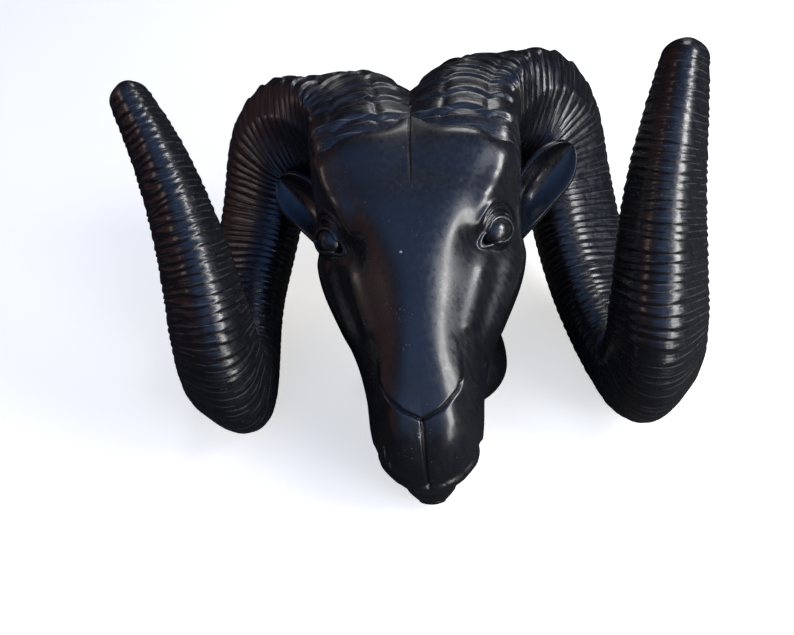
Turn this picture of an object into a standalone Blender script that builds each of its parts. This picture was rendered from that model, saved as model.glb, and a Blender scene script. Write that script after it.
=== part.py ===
"""Ram head sculpture: a head with two large ribbed horns on a short neck, cast in one piece.

The head is modelled in a face frame: x across the face, t up along it and w out of it.
It is then tipped back onto the neck, whose flat cut is the base that it stands on.
"""
import math

import bmesh
import bpy
import numpy as np
from mathutils import Matrix, Vector
from mathutils.bvhtree import BVHTree

# Stance
FACE_LEAN = math.radians(46.0)      # lean of the face line back from vertical
STAND_HEIGHT = 0.161                # height of the face frame's origin over the base

# Neck sections from the base up:
# (centre back of the face frame's origin, height, half width, reach to the throat, reach to the back)
NECK_SECTIONS = [
    (0.072, 0.000, 0.0650, 0.044, 0.078),
    (0.072, 0.003, 0.0675, 0.0465, 0.0805),
    (0.078, 0.048, 0.0665, 0.047, 0.076),
    (0.090, 0.090, 0.0630, 0.048, 0.066),
    (0.100, 0.122, 0.0500, 0.040, 0.050),
]
NECK_SIDES = 32

# Horns
HORN_SPREAD = 0.2195                # from the middle plane out to the furthest centre of a horn
HORN_RISE = 0.190                   # from the face frame's origin up to the top of the curl's centre line
HORN_SWEEP = 0.176                  # from the face frame's origin back to the furthest centre
HORN_RIBS = 46
HORN_SIDES = 16
RIB_RISE = 0.0019                   # rise of a rib over its groove, where the horn is thickest
RIBS_START = 0.045                  # share of the horn's length where the ribs begin
HORN_FLATNESS = 0.105               # how far the section goes from round to three-sided
FRONT_DEPTH = 0.90                  # from the centre to the broad front face, in radii
OUTER_SQUARENESS = 4.5              # how crisp the front face's outer edge is at the root
INNER_SQUARENESS = 2.7              # the same for its edge by the other horn
FRONT_ENDS = (0.24, 0.38)           # shares of the length where the broad front face fades out
HORN_TWIST = math.radians(50.0)     # turn of the section over the top of the curl
TWIST_ENDS = (0.10, 0.25)           # shares of the length where that turn starts and ends
TIP_ROUNDING = 0.85                 # length of the rounded tip in tip radii

# Horn centre lines from inside the skull to the tip: out, up and forward as shares of
# HORN_SPREAD, HORN_RISE and HORN_SWEEP, and the radius.
# The two horns were carved by hand and differ a little.
RIGHT_HORN = [
    (0.167, 0.589, -0.233, 0.0370),
    (0.190, 0.779, -0.335, 0.0425),
    (0.217, 0.921, -0.500, 0.0445),
    (0.362, 1.000, -0.693, 0.0460),
    (0.511, 0.947, -0.864, 0.0460),
    (0.584, 0.732, -0.977, 0.0420),
    (0.629, 0.442, -1.000, 0.0400),
    (0.688, 0.095, -0.909, 0.0380),
    (0.774, -0.189, -0.739, 0.0375),
    (0.833, -0.305, -0.477, 0.0380),
    (0.851, -0.168, -0.205, 0.0375),
    (0.864, 0.158, -0.074, 0.0340),
    (0.891, 0.489, -0.017, 0.0285),
    (0.932, 0.763, 0.023, 0.0225),
    (0.964, 0.958, 0.045, 0.0172),
]
LEFT_HORN = [
    (0.163, 0.585, -0.228, 0.0373),
    (0.187, 0.774, -0.331, 0.0424),
    (0.231, 0.911, -0.500, 0.0435),
    (0.416, 0.963, -0.705, 0.0455),
    (0.602, 0.895, -0.875, 0.0455),
    (0.697, 0.684, -0.977, 0.0400),
    (0.751, 0.453, -1.000, 0.0380),
    (0.801, 0.158, -0.909, 0.0368),
    (0.801, -0.137, -0.739, 0.0360),
    (0.783, -0.295, -0.477, 0.0365),
    (0.778, -0.137, -0.205, 0.0345),
    (0.801, 0.195, -0.074, 0.0298),
    (0.851, 0.500, -0.017, 0.0248),
    (0.928, 0.789, 0.023, 0.0200),
    (1.000, 0.979, 0.045, 0.0158),
]

# Head sections up the face: (height, bridge centre w, then x and w of the bridge edge,
# of the widest line down the cheek and of the jaw edge, then throat centre w)
HEAD_SECTIONS = [
    (-0.158, -0.054, 0.004, -0.054, 0.006, -0.058, 0.004, -0.063, -0.064),
    (-0.150, -0.041, 0.007, -0.042, 0.012, -0.051, 0.008, -0.066, -0.069),
    (-0.141, -0.027, 0.012, -0.029, 0.023, -0.046, 0.014, -0.067, -0.072),
    (-0.128, -0.012, 0.018, -0.016, 0.035, -0.042, 0.021, -0.067, -0.074),
    (-0.110, 0.000, 0.022, -0.005, 0.0435, -0.038, 0.027, -0.067, -0.077),
    (-0.088, 0.007, 0.025, 0.001, 0.0470, -0.035, 0.031, -0.070, -0.081),
    (-0.062, 0.012, 0.025, 0.006, 0.0495, -0.036, 0.034, -0.077, -0.088),
    (-0.036, 0.015, 0.022, 0.010, 0.0560, -0.040, 0.038, -0.086, -0.096),
    (-0.012, 0.016, 0.020, 0.011, 0.0665, -0.046, 0.046, -0.096, -0.106),
    (0.012, 0.015, 0.0205, 0.010, 0.0775, -0.052, 0.056, -0.106, -0.116),
    (0.040, 0.013, 0.025, 0.007, 0.0860, -0.058, 0.064, -0.114, -0.124),
    (0.068, 0.010, 0.037, 0.003, 0.0860, -0.062, 0.068, -0.120, -0.130),
    (0.095, 0.005, 0.050, -0.003, 0.0865, -0.062, 0.068, -0.122, -0.132),
    (0.120, -0.005, 0.057, -0.012, 0.0860, -0.064, 0.066, -0.122, -0.130),
    (0.145, -0.019, 0.057, -0.026, 0.0780, -0.074, 0.056, -0.116, -0.126),
    (0.168, -0.046, 0.040, -0.054, 0.0480, -0.084, 0.036, -0.106, -0.112),
]
HEAD_RINGS = 40
HEAD_SIDES = 40

# Eyes, in the face frame. The two were carved by hand and sit a little differently.
EYE_RADIUS = 0.0135
EYE_PLACES = {1: (0.0635, 0.0655, -0.0305), -1: (0.0695, 0.0665, -0.0365)}
EYE_FACING = (0.52, -0.02, 0.85)
LID_RADIUS = 0.0031

# Ears: root, tip and the way the cup opens, in the face frame
EAR_ROOT = (0.082, 0.072, -0.088)
EAR_TIPS = {1: (0.140, 0.146, -0.106), -1: (0.129, 0.133, -0.110)}
EAR_OPENS = (0.45, -0.10, 0.88)
EAR_HALF_WIDTH = 0.0215
EAR_CUP_DEPTH = 0.011
EAR_THICKNESS = 0.0045

# Grooves cut into the face, as points (x, t) on its front
NOSE_V = [(0.0330, -0.050), (0.0270, -0.0605), (0.0140, -0.0725), (0.0, -0.0800)]
PHILTRUM = [(0.0006, -0.0775), (0.0003, -0.100), (0.0008, -0.120), (0.0004, -0.1385)]
MOUTH = [(0.0445, -0.106), (0.0385, -0.1180), (0.0270, -0.1300), (0.0130, -0.1360), (0.0, -0.1375)]
BROW_CREASE = [(0.0006, 0.108), (0.0003, 0.122), (0.0007, 0.136), (0.0004, 0.149)]
NOSE_V_WIDTH = 0.0036
PHILTRUM_WIDTH = 0.0024
MOUTH_WIDTH = 0.0034
CREASE_WIDTH = 0.0022


def spline(knots, values, at):
    """Natural cubic spline through values at knots, read at the places in at."""
    knots = np.asarray(knots, float)
    values = np.asarray(values, float)
    flat = values.reshape(len(knots), -1)
    step = np.diff(knots)
    count = len(knots)
    system = np.eye(count)
    right = np.zeros_like(flat)
    for i in range(1, count - 1):
        system[i, i - 1:i + 2] = (step[i - 1], 2 * (step[i - 1] + step[i]), step[i])
        right[i] = 6 * ((flat[i + 1] - flat[i]) / step[i] - (flat[i] - flat[i - 1]) / step[i - 1])
    bend = np.linalg.solve(system, right)
    at = np.clip(np.asarray(at, float), knots[0], knots[-1])
    i = np.clip(np.searchsorted(knots, at, side="right") - 1, 0, count - 2)
    h = step[i][:, None]
    near = (at - knots[i])[:, None]
    far = h - near
    out = (
        bend[i] * far**3 / (6 * h)
        + bend[i + 1] * near**3 / (6 * h)
        + (flat[i] / h - bend[i] * h / 6) * far
        + (flat[i + 1] / h - bend[i + 1] * h / 6) * near
    )
    return out.reshape(len(at), *values.shape[1:])


def arc_spline(points, count):
    """Points at count even steps of a smooth open curve through points."""
    points = np.asarray(points, float)
    knots = np.concatenate([[0.0], np.cumsum(np.linalg.norm(np.diff(points[:, :3], axis=0), axis=1))])
    fine = spline(knots, points, np.linspace(0, knots[-1], 600))
    length = np.concatenate([[0.0], np.cumsum(np.linalg.norm(np.diff(fine[:, :3], axis=0), axis=1))])
    at = np.linspace(0, length[-1], count) if np.isscalar(count) else np.asarray(count) * length[-1]
    return np.column_stack([np.interp(at, length, column) for column in fine.T])


def closed_spline(points, count):
    """Points at count even steps of a smooth closed curve through points."""
    points = np.asarray(points, float)
    wraps = 3
    around = np.concatenate([points[-wraps:], points, points[:wraps + 1]])
    gaps = np.linalg.norm(np.diff(around, axis=0), axis=1) ** 0.5
    knots = np.concatenate([[0.0], np.cumsum(gaps)])
    start, end = knots[wraps], knots[wraps + len(points)]
    at = start + (end - start) * np.arange(count) / count
    return spline(knots, around, at)


def unit(vectors):
    """Vectors scaled to length 1."""
    vectors = np.asarray(vectors, float)
    return vectors / np.linalg.norm(vectors, axis=-1, keepdims=True)


def bump(x, t, place, size):
    """A smooth hill of height 1 at place, with half sizes size, on both sides of the face."""
    return np.exp(-((np.abs(x) - place[0]) / size[0]) ** 2 - ((t - place[1]) / size[1]) ** 2)


def ridge(x, t, start, end, width):
    """A smooth ridge of height 1 along the line from start to end, on both sides of the face."""
    start, end = np.asarray(start, float), np.asarray(end, float)
    along = end - start
    place = np.stack([np.abs(x) - start[0], t - start[1]], -1)
    share = np.clip(place @ along / (along @ along), 0, 1)
    gap = np.linalg.norm(place - share[..., None] * along, axis=-1)
    return np.exp(-(gap / width) ** 2)


def face_relief(x, t, front):
    """Height of the modelling on the face at (x, t): brows, eye hollows, cheek crests, nostril wings."""
    relief = 0.0055 * bump(x, t, (0.0655, 0.0930), (0.015, 0.010))
    relief = relief + 0.0030 * ridge(x, t, (0.060, 0.100), (0.074, 0.128), 0.010)
    relief = relief - 0.0050 * bump(x, t, (0.0540, 0.0560), (0.014, 0.016))
    relief = relief + 0.0024 * ridge(x, t, (0.056, 0.044), (0.040, -0.008), 0.006)
    relief = relief + 0.0032 * ridge(x, t, (0.082, 0.048), (0.059, -0.010), 0.008)
    relief = relief - 0.0022 * ridge(x, t, (0.066, 0.036), (0.049, -0.014), 0.006)
    relief = relief + 0.0025 * bump(x, t, (0.0190, -0.0960), (0.015, 0.018))
    relief = relief - 0.0020 * bump(x, t, (0.0360, -0.0700), (0.010, 0.012))
    return relief * front


def head_rings(count, sides):
    """Rings of the head from chin to poll, each a closed outline in (x, t, w)."""
    table = np.array(HEAD_SECTIONS)
    lines = np.stack([
        np.column_stack([0 * table[:, 0], table[:, 1]]),
        table[:, 2:4], table[:, 4:6], table[:, 6:8],
        np.column_stack([0 * table[:, 0], table[:, 8]]),
    ], axis=1)
    at = np.linspace(table[0, 0], table[-1, 0], count)
    rings = []
    for t, half in zip(at, spline(table[:, 0], lines, at)):
        other = half[1:-1][::-1] * (-1, 1)
        outline = closed_spline(np.concatenate([half, other]), sides)
        ahead = np.roll(outline, -1, axis=0) - np.roll(outline, 1, axis=0)
        normal = unit(np.column_stack([-ahead[:, 1], ahead[:, 0]]))
        normal *= np.sign(np.sum(normal * (outline - outline.mean(axis=0)), axis=1))[:, None]
        front = np.clip((outline[:, 1] - half[3, 1]) / 0.020, 0, 1)
        relief = face_relief(outline[:, 0], np.full(sides, t), front)
        outline = outline + normal * relief[:, None]
        rings.append(np.column_stack([outline[:, 0], np.full(sides, t), outline[:, 1]]))
    return rings


def frames_along(points, first):
    """Tangents and two side directions along points, with the first side direction near first."""
    tangent = unit(np.gradient(points, axis=0))
    side = np.empty_like(tangent)
    current = np.asarray(first, float)
    for i, way in enumerate(tangent):
        current = current - way * (current @ way)
        current = current / np.linalg.norm(current)
        side[i] = current
    return tangent, side, np.cross(tangent, side)


def fade(low, high, value):
    """A soft step from 0 below low to 1 above high."""
    share = np.clip((value - low) / (high - low), 0, 1)
    return share * share * (3 - 2 * share)


def horn_section(share, angle):
    """Reach of the horn's section over its radius, at angles measured from the middle of its front face.

    It is a rounded triangle with a keel behind. Near the skull the front half squares up into a
    broad flat face between two edges.
    """
    three_sided = 1 - HORN_FLATNESS * np.cos(3 * angle)
    power = np.where(np.sin(angle) > 0, OUTER_SQUARENESS, INNER_SQUARENESS)
    square = (np.abs(np.cos(angle) / FRONT_DEPTH) ** power + np.abs(np.sin(angle)) ** power) ** (-1 / power)
    broad = np.where(np.cos(angle) > 0, 1 - fade(*FRONT_ENDS, share), 0)
    return three_sided + (square - three_sided) * broad


def horn_rings(stations, side):
    """Rings of one horn. Side is 1 for the right horn and -1 for the left one."""
    ribs = RIBS_START + (1 - RIBS_START) * np.linspace(0, 1, 2 * HORN_RIBS + 1)
    share = np.concatenate([np.linspace(0, RIBS_START, 4)[:-1], ribs])
    rise = np.concatenate([np.zeros(3), np.arange(len(ribs)) % 2])
    line = arc_spline(np.array(stations) * (HORN_SPREAD, HORN_RISE, HORN_SWEEP, 1), share)
    centre, radius = line[:, :3], line[:, 3]
    tangent, front, across = frames_along(centre, (0, 0, 1))
    angle = 2 * math.pi * np.arange(HORN_SIDES) / HORN_SIDES
    rings = []
    for s, c, r, f, g, h in zip(share, centre, radius, front, across, rise):
        reach = r * horn_section(s, angle) + h * RIB_RISE * r / 0.04
        turned = angle - HORN_TWIST * fade(*TWIST_ENDS, s)
        ring = c + reach[:, None] * (np.cos(turned)[:, None] * f + np.sin(turned)[:, None] * g)
        rings.append(ring * (side, 1, 1))
    last = rings[-1] * (side, 1, 1) - centre[-1]
    for turn in (0.40, 0.95, 1.30):
        forward = centre[-1] + tangent[-1] * radius[-1] * TIP_ROUNDING * math.sin(turn)
        rings.append((forward + last * math.cos(turn)) * (side, 1, 1))
    return rings


def ear_rings(side):
    """Rings of one cupped ear: crescents along the line from its root to its tip."""
    root, tip = np.array(EAR_ROOT), np.array(EAR_TIPS[side])
    along = unit(tip - root)
    opens = unit(np.array(EAR_OPENS) - along * (np.array(EAR_OPENS) @ along))
    across = np.cross(along, opens)
    turn = np.linspace(-1, 1, 9)
    rings = []
    for share in np.linspace(0.0, 1.0, 12):
        half = EAR_HALF_WIDTH * (0.36 + 0.64 * math.sin(math.pi * min(1.0, 0.10 + 0.62 * share) ** 1.1))
        half *= math.sqrt(max(0.06, 1 - max(0.0, (share - 0.62) / 0.39) ** 2))
        bow = EAR_CUP_DEPTH * half / EAR_HALF_WIDTH
        bend = opens * 0.010 * math.sin(math.pi * share)
        centre = root + (tip - root) * share - bend
        hollow = min(1.0, 1.6 * share)
        inner = [(half * u, bow * (hollow * u * u + (1 - hollow) * (1 - 0.2 * u * u))) for u in turn]
        rim = EAR_THICKNESS * 0.5
        outer = [
            ((half + rim) * u, bow * u * u - EAR_THICKNESS - rim * (1 - u * u)) for u in turn[::-1]
        ]
        rings.append([
            (centre + across * a + opens * b) * (side, 1, 1) for a, b in inner + outer
        ])
    return rings


def stand(points):
    """Tips points from the face frame back onto the neck: x, y back from the face, z up."""
    points = np.asarray(points, float)
    x, t, w = points[..., 0], points[..., 1], points[..., 2]
    back, rise = math.sin(FACE_LEAN), math.cos(FACE_LEAN)
    return np.stack([x, t * back - w * rise, t * rise + w * back + STAND_HEIGHT], -1)


def body_from(name, bm):
    """An object from a closed bmesh, with its faces turned outwards."""
    bmesh.ops.recalc_face_normals(bm, faces=bm.faces)
    mesh = bpy.data.meshes.new(name)
    bm.to_mesh(mesh)
    bm.free()
    body = bpy.data.objects.new(name, mesh)
    bpy.context.scene.collection.objects.link(body)
    return body


def loft(name, rings):
    """A closed body through rings of equal count, capped at both ends."""
    bm = bmesh.new()
    rows = [[bm.verts.new(p) for p in ring] for ring in rings]
    for low, high in zip(rows[:-1], rows[1:]):
        for i in range(len(low)):
            j = (i + 1) % len(low)
            bm.faces.new((low[i], low[j], high[j], high[i]))
    bm.faces.new(rows[0])
    bm.faces.new(rows[-1])
    return body_from(name, bm)


def neck():
    """The neck, from its flat base up into the head."""
    angle = 2 * math.pi * np.arange(NECK_SIDES) / NECK_SIDES
    rings = []
    for y, z, half, throat, nape in NECK_SECTIONS:
        reach = np.where(np.sin(angle) < 0, throat, nape)
        rings.append(np.column_stack([
            half * np.cos(angle), y + reach * np.sin(angle), np.full(NECK_SIDES, z),
        ]))
    return loft("neck", rings)


def eye_parts(side):
    """One eyeball with its upper and lower lid."""
    centre = np.array(EYE_PLACES[side])
    facing = unit(EYE_FACING)
    up = unit(np.array((0.0, 1.0, 0.0)) - facing * facing[1])
    across = np.cross(up, facing)
    bm = bmesh.new()
    bmesh.ops.create_uvsphere(bm, u_segments=16, v_segments=10, radius=EYE_RADIUS)
    bmesh.ops.translate(bm, vec=Vector(stand(centre * (side, 1, 1))), verts=bm.verts)
    parts = [body_from(f"eyeball_{side}", bm)]
    for name, start, end, lift, drop in (
        ("upper_lid", -20, 200, 1.05, 0.0035), ("lower_lid", 195, 345, 1.00, 0.0030),
    ):
        turn = np.radians(np.linspace(start, end, 15))
        reach = EYE_RADIUS * lift
        # The inner corner, toward the nose, is drawn out into a point
        inner = 0.35 * np.clip(-np.cos(turn), 0, 1) ** 6
        arc = (
            centre + np.cos(turn)[:, None] * (1 + inner)[:, None] * reach * across
            + np.sin(turn)[:, None] * 0.92 * reach * up + facing * drop
        )
        thick = LID_RADIUS * (0.45 + 0.55 * np.sin(np.pi * np.linspace(0.08, 0.92, 15)))
        parts.append(tube(f"{name}_{side}", stand(arc * (side, 1, 1)), thick, 7))
    return parts


def tube(name, points, radii, sides):
    """A closed round tube along points, with a radius at each."""
    points = np.asarray(points, float)
    _, first, second = frames_along(points, (0.31, 0.22, 0.93))
    angle = 2 * math.pi * np.arange(sides) / sides
    rings = [
        c + r * (np.cos(angle)[:, None] * f + np.sin(angle)[:, None] * g)
        for c, r, f, g in zip(points, np.broadcast_to(radii, len(points)), first, second)
    ]
    return loft(name, rings)


def groove_cutter(name, tree, line, width, count, both=False):
    """A tube lying in the face's surface along line, to be cut out as a groove."""
    line = np.asarray(line, float)
    if both:
        line = np.concatenate([line, line[-2::-1] * (-1, 1)])
    flat = arc_spline(np.column_stack([line, np.zeros(len(line))]), count)
    down = Vector((stand((0, 0, -1)) - stand((0, 0, 0))).tolist())
    found = []
    for x, t, _ in flat:
        hit = tree.ray_cast(Vector(stand((x, t, 0.2)).tolist()), down)[0]
        if hit is not None:
            found.append(tuple(hit))
    return tube(name, found, width / 2, 6)


def combine(body, other, operation):
    """Adds a Boolean with other to body, and keeps other as a hidden helper."""
    change = body.modifiers.new(f"{operation.lower()}_{other.name}", "BOOLEAN")
    change.operation = operation
    change.solver = "EXACT"
    change.object = other
    other.hide_render = True
    other.display_type = "WIRE"


def centre_on_base(bodies, helpers):
    """Moves everything so that the origin is under the middle of the bodies' bounding box."""
    corners = np.array([v.co for body in bodies for v in body.data.vertices])
    middle = (corners.min(axis=0) + corners.max(axis=0)) / 2
    shift = Matrix.Translation((-middle[0], -middle[1], 0.0))
    for body in bodies + helpers:
        body.data.transform(shift)


def lacquer():
    """Black lacquer over the cast."""
    material = bpy.data.materials.new("black_lacquer")
    material.use_nodes = True
    surface = material.node_tree.nodes["Principled BSDF"]
    surface.inputs["Base Color"].default_value = (0.012, 0.012, 0.014, 1.0)
    surface.inputs["Roughness"].default_value = 0.24
    surface.inputs["Metallic"].default_value = 0.0
    return material


def main():
    """Builds the sculpture as one solid standing on its neck."""
    for found in list(bpy.data.objects):
        bpy.data.objects.remove(found)
    head = loft("ram_head", [stand(ring) for ring in head_rings(HEAD_RINGS, HEAD_SIDES)])
    bm = bmesh.new()
    bm.from_mesh(head.data)
    tree = BVHTree.FromBMesh(bm)
    bm.free()
    added = []
    for side, stations in ((1, RIGHT_HORN), (-1, LEFT_HORN)):
        added.append(loft(f"horn_{side}", [stand(r) for r in horn_rings(stations, side)]))
    added.append(neck())
    for side in (1, -1):
        added.append(loft(f"ear_{side}", [stand(r) for r in ear_rings(side)]))
        added.extend(eye_parts(side))
    cut = [
        groove_cutter("nose_cut", tree, NOSE_V, NOSE_V_WIDTH, 15, both=True),
        groove_cutter("philtrum_cut", tree, PHILTRUM, PHILTRUM_WIDTH, 9),
        groove_cutter("crease_cut", tree, BROW_CREASE, CREASE_WIDTH, 6),
        groove_cutter("mouth_cut", tree, MOUTH, MOUTH_WIDTH, 21, both=True),
    ]
    centre_on_base([head] + added, cut)
    for other in added:
        combine(head, other, "UNION")
    for other in cut:
        combine(head, other, "DIFFERENCE")
    head.data.materials.append(lacquer())


main()
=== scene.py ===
"""Ram head sculpture in black lacquer: the fine surface of the cast, its finish and a plain studio.

Every form is worked out in a face frame, with x across the face, t up along it and w out of it,
and is then tipped back onto the neck's flat base.
"""

import logging
import math
from dataclasses import dataclass
from enum import Enum
from typing import Callable, Optional

import bpy
import numpy as np
from mathutils import Matrix, Vector

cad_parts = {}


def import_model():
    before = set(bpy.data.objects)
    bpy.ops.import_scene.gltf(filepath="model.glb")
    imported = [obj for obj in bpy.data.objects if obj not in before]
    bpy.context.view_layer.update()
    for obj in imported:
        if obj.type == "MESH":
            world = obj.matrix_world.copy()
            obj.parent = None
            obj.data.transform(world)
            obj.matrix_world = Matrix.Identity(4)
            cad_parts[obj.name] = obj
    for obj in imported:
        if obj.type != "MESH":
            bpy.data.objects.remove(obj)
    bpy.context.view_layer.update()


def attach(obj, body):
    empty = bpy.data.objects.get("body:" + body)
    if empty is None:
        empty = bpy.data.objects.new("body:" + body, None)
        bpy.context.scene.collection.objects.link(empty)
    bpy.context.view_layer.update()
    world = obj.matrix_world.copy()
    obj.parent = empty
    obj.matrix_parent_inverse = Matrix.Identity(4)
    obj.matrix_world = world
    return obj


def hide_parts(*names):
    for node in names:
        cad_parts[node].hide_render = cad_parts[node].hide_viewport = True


log = logging.getLogger("ram_head")

Distance = Callable[[np.ndarray], np.ndarray]
Pair = tuple[float, float]
Triple = tuple[float, float, float]
Socket = bpy.types.NodeSocket

MARKS = "pattern_place"
SPOT_INPUTS = {"X": 0.0, "Y": 0.0, "Z": 0.0, "Width": 0.003, "Height": 0.003, "Grain": 500.0, "Break Up": 1.6}


class Side(Enum):
    """The two sides of the face, as the sign of x."""

    RIGHT = 1
    LEFT = -1

    @property
    def word(self) -> str:
        """The side's name in lower case."""
        return self.name.lower()

    @property
    def mirror(self) -> np.ndarray:
        """Factors that turn a place on the right side into one on this side."""
        return np.array((self.value, 1.0, 1.0))


def unit(vectors: np.ndarray) -> np.ndarray:
    """Vectors divided by their own length."""
    vectors = np.asarray(vectors, float)
    return vectors / np.maximum(np.linalg.norm(vectors, axis=-1, keepdims=True), 1e-12)


def smooth(low: float, high: float, value: np.ndarray) -> np.ndarray:
    """A soft step: 0 below low, 1 above high, and 3u^2 - 2u^3 between them.

    Args:
        low: Where the step starts.
        high: Where it ends.
        value: The numbers to read it at.

    Returns:
        The step's height at each number.
    """
    u = np.clip((value - low) / (high - low), 0.0, 1.0)
    return u * u * (3.0 - 2.0 * u)


def bell(value: np.ndarray, width: float) -> np.ndarray:
    """A bell curve of height 1 round 0: exp(-(value / width)^2)."""
    return np.exp(-((value / width) ** 2))


def wrapped(angle: np.ndarray) -> np.ndarray:
    """The same angle, taken between -pi and pi."""
    return np.angle(np.exp(1j * angle))


def full_turn(count: int) -> np.ndarray:
    """Even angles once round, starting at 0."""
    return 2 * math.pi * np.arange(count) / count


def spline(knots: np.ndarray, values: np.ndarray, at: np.ndarray) -> np.ndarray:
    """Natural cubic spline: between two knots a cubic whose second derivative runs straight.

    Args:
        knots: Rising parameter values.
        values: One row for each knot.
        at: Parameter values to read.

    Returns:
        One row for each of at.
    """
    knots, values = np.asarray(knots, float), np.asarray(values, float)
    flat = values.reshape(len(knots), -1)
    step = np.diff(knots)
    count = len(knots)
    system = np.eye(count)
    right = np.zeros_like(flat)
    middle = np.arange(1, count - 1)
    system[middle, middle - 1] = step[:-1]
    system[middle, middle] = 2 * (step[:-1] + step[1:])
    system[middle, middle + 1] = step[1:]
    slope = np.diff(flat, axis=0) / step[:, None]
    right[1:-1] = 6 * np.diff(slope, axis=0)
    bend = np.linalg.solve(system, right)
    at = np.clip(np.asarray(at, float), knots[0], knots[-1])
    i = np.clip(np.searchsorted(knots, at, side="right") - 1, 0, count - 2)
    h = step[i][:, None]
    near = (at - knots[i])[:, None]
    far = h - near
    out = (
        (bend[i] * far**3 + bend[i + 1] * near**3) / (6 * h)
        + (flat[i] / h - bend[i] * h / 6) * far
        + (flat[i + 1] / h - bend[i + 1] * h / 6) * near
    )
    return out.reshape((len(at),) + values.shape[1:])


def along(points: np.ndarray, share: np.ndarray) -> np.ndarray:
    """Reads a smooth open curve through points at shares of its length.

    Args:
        points: Rows whose first three numbers are a place; more numbers ride along.
        share: Shares of the length, from 0 to 1.

    Returns:
        One row for each share.
    """
    points = np.asarray(points, float)
    knots = np.concatenate([[0.0], np.cumsum(np.linalg.norm(np.diff(points[:, :3], axis=0), axis=1))])
    fine = spline(knots, points, np.linspace(0.0, knots[-1], 1500))
    length = np.concatenate([[0.0], np.cumsum(np.linalg.norm(np.diff(fine[:, :3], axis=0), axis=1))])
    at = np.asarray(share, float) * length[-1]
    return np.column_stack([np.interp(at, length, column) for column in fine.T])


def closed_curve(points: np.ndarray, at: np.ndarray) -> np.ndarray:
    """Reads a smooth closed curve through points at shares of its parameter.

    Args:
        points: Its points in order, the first not repeated.
        at: Shares of the way round, from 0 to 1.

    Returns:
        One row for each share.
    """
    wraps = 3
    around = np.concatenate([points[-wraps:], points, points[: wraps + 1]])
    gaps = np.linalg.norm(np.diff(around, axis=0), axis=1) ** 0.5
    knots = np.concatenate([[0.0], np.cumsum(gaps)])
    start, end = knots[wraps], knots[wraps + len(points)]
    return spline(knots, around, start + (end - start) * at)


def transport(tangent: np.ndarray, first: np.ndarray) -> tuple[np.ndarray, np.ndarray]:
    """Carries a side direction along a path without twisting it.

    Args:
        tangent: Unit tangents along the path.
        first: The side direction wanted at the start.

    Returns:
        The side directions, and the tangents crossed with them.
    """
    side = np.empty_like(tangent)
    current = np.asarray(first, float)
    for row, way in enumerate(tangent):
        current = unit(current - way * (current @ way))
        side[row] = current
    return side, np.cross(tangent, side)


def waves(u: np.ndarray, v: np.ndarray, seed: int, layers: int = 7) -> np.ndarray:
    """Smooth uneven pattern: the mean of sines that cross the (u, v) plane in seeded directions.

    Args:
        u: First coordinate; one unit is about one hump.
        v: Second coordinate, whose humps join up over 2 pi.
        seed: Chooses the directions and phases.
        layers: How many sines are added.

    Returns:
        Heights, mostly between -1 and 1.
    """
    rng = np.random.default_rng(seed)
    total = np.zeros(np.broadcast(u, v).shape)
    for _ in range(layers):
        run = rng.uniform(2.5, 7.0)
        turns = int(rng.integers(-3, 4))
        total = total + np.sin(run * u + turns * v + rng.uniform(0, 2 * math.pi))
    return total / math.sqrt(layers)


@dataclass(frozen=True)
class Stance:
    """How the face frame is tipped back and stood on the base."""

    lean: float = math.radians(46.0)
    height: float = 0.161
    centre: Pair = (-0.00293, 0.09801)

    def world(self, points: np.ndarray) -> np.ndarray:
        """Places face-frame points in the world.

        Args:
            points: Face-frame points, any shape by 3.

        Returns:
            World points of the same shape.
        """
        points = np.asarray(points, float)
        x, t, w = points[..., 0], points[..., 1], points[..., 2]
        back, rise = math.sin(self.lean), math.cos(self.lean)
        return np.stack([
            x - self.centre[0], t * back - w * rise - self.centre[1], t * rise + w * back + self.height,
        ], -1)

    def face(self, points: np.ndarray) -> np.ndarray:
        """Turns world points back into face-frame points.

        Args:
            points: World points, any shape by 3.

        Returns:
            Face-frame points of the same shape.
        """
        points = np.asarray(points, float)
        x, y = points[..., 0] + self.centre[0], points[..., 1] + self.centre[1]
        z = points[..., 2] - self.height
        back, rise = math.sin(self.lean), math.cos(self.lean)
        return np.stack([x, y * back + z * rise, -y * rise + z * back], -1)


STANCE = Stance()


def grid_normals(grid: np.ndarray, middle: np.ndarray) -> np.ndarray:
    """Outward unit normals of a grid of rings: the cross product of its two central differences.

    Args:
        grid: Points, rings by sides by 3.
        middle: A place inside each ring, rings by 1 by 3.

    Returns:
        One normal for each point, turned away from the middle.
    """
    down = np.gradient(grid, axis=0)
    across = np.roll(grid, -1, axis=1) - np.roll(grid, 1, axis=1)
    normal = unit(np.cross(across, down))
    return normal * np.sign(np.sum(normal * (grid - middle), -1))[..., None]


def fillet(gap: np.ndarray, reach: float) -> np.ndarray:
    """How far a surface swells near another one: reach / 4 * (1 - |gap| / reach)^2 within reach of it."""
    return reach / 4 * np.clip(1 - np.abs(gap) / reach, 0, None) ** 2


def evened(numbers: np.ndarray, times: int = 14) -> np.ndarray:
    """A grid of heights smoothed over its neighbours: (before + 2 here + after) / 4 along both ways.

    Args:
        numbers: Heights on rings by sides, which join up round the sides.
        times: How often it is done.

    Returns:
        The smoothed heights.
    """
    for _ in range(times):
        padded = np.concatenate([numbers[:1], numbers, numbers[-1:]])
        numbers = (padded[:-2] + 2 * numbers + padded[2:]) / 4
        numbers = (np.roll(numbers, 1, axis=1) + 2 * numbers + np.roll(numbers, -1, axis=1)) / 4
    return numbers


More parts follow.
